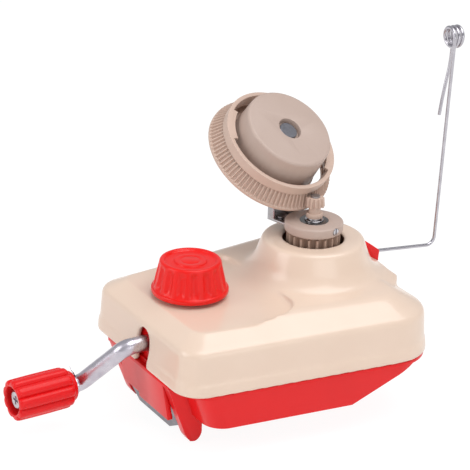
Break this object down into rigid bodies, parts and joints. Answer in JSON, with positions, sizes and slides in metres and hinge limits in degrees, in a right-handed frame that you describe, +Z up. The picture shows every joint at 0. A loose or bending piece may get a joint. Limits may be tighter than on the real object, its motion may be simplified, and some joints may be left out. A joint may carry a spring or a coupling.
{
  "type": "yarn ball winder",
  "caption": "Hand-cranked yarn ball winder with geared tilted spool wheel, wire yarn guide and table clamp knob.",
  "frame": {"origin": "middle of the body's flat underside that sits on the table, on the plan's centreline", "axes": "+X from the crank end to the turret end and yarn guide, +Y to the side away from the clamp knob's near edge, +Z up"},
  "size_m": [0.2732, 0.1388, 0.1975],
  "materials": {
    "cover_plastic": "cream, moulded, glossy",
    "red_plastic": "red, moulded, glossy",
    "knob_plastic": "bright red, moulded, semi-gloss",
    "grip_plastic": "bright red, moulded, semi-gloss",
    "gear_plastic": "beige acetal, matte",
    "hub_plastic": "beige acetal, matte",
    "bright_steel": "zinc plated sheet",
    "steel": "plated",
    "chrome": "polished",
    "rubber": "matte"
  },
  "bodies": {
    "frame": {"top_cover": "cover_plastic", "base_shell": "red_plastic", "cover_screws": "steel", "guide_socket": "red_plastic", "crank_bush": "red_plastic", "bearing_cap": "red_plastic", "cap_screws": "steel", "centre_post": "steel", "sun_pinion": "gear_plastic", "pinion_screw": "steel", "clamp_washer": "steel"},
    "crank": {"crank_rod": "chrome", "crown_gear": "gear_plastic", "crown_pin": "steel", "grip_washer": "steel", "grip_screw": "chrome"},
    "grip": {"crank_grip": "grip_plastic"},
    "turntable": {"driven_gear": "gear_plastic", "turntable_collar": "gear_plastic", "set_screw": "steel", "bracket": "bright_steel", "bracket_rivets": "steel", "wheel_axle": "steel", "axle_spacer": "steel"},
    "wheel": {"wheel_ring": "gear_plastic", "spool_drum": "hub_plastic"},
    "knob": {"clamp_knob": "knob_plastic", "clamp_screw": "steel", "screw_clip": "steel"},
    "jaw": {"clamp_jaw": "bright_steel", "jaw_nut": "steel", "jaw_pad": "rubber"},
    "guide": {"guide_wire": "chrome"}
  },
  "joints": [
    {"name": "crank_spin", "type": "hinge", "parent": "frame", "child": "crank", "pos_m": [0.03365, 0, 0.0335], "axis": [0.999, 0.0448, 0], "continuous": true},
    {"name": "grip_spin", "type": "hinge", "parent": "crank", "child": "grip", "pos_m": [-0.102, 0.01762, 0.0056], "axis": [0.999, 0.0448, 0], "continuous": true},
    {"name": "turntable_spin", "type": "hinge", "parent": "frame", "child": "turntable", "pos_m": [0.03365, 0, 0.07], "axis": [0, 0, 1], "continuous": true},
    {"name": "wheel_spin", "type": "hinge", "parent": "turntable", "child": "wheel", "pos_m": [0.02616, 0.02877, 0.11828], "axis": [0.1496, -0.5743, 0.8049], "continuous": true},
    {"name": "knob_turn", "type": "hinge", "parent": "frame", "child": "knob", "pos_m": [-0.042, 0.0045, 0.06], "axis": [0, 0, 1], "range_deg": [0, 6120]},
    {"name": "jaw_slide", "type": "slide", "parent": "frame", "child": "jaw", "axis": [0, 0, -1], "range_m": [0, 0.017]},
    {"name": "guide_swivel", "type": "hinge", "parent": "frame", "child": "guide", "pos_m": [0.0725, 0, 0.0563], "axis": [0.9956, 0, -0.0936], "range_deg": [-80, 80]}
  ],
  "couplings": [
    {"joint": "turntable_spin", "follows": "crank_spin", "ratio": 2},
    {"joint": "wheel_spin", "follows": "crank_spin", "ratio": 0.26667},
    {"joint": "jaw_slide", "follows": "knob_turn", "m_per_rad": 0.00015915}
  ]
}
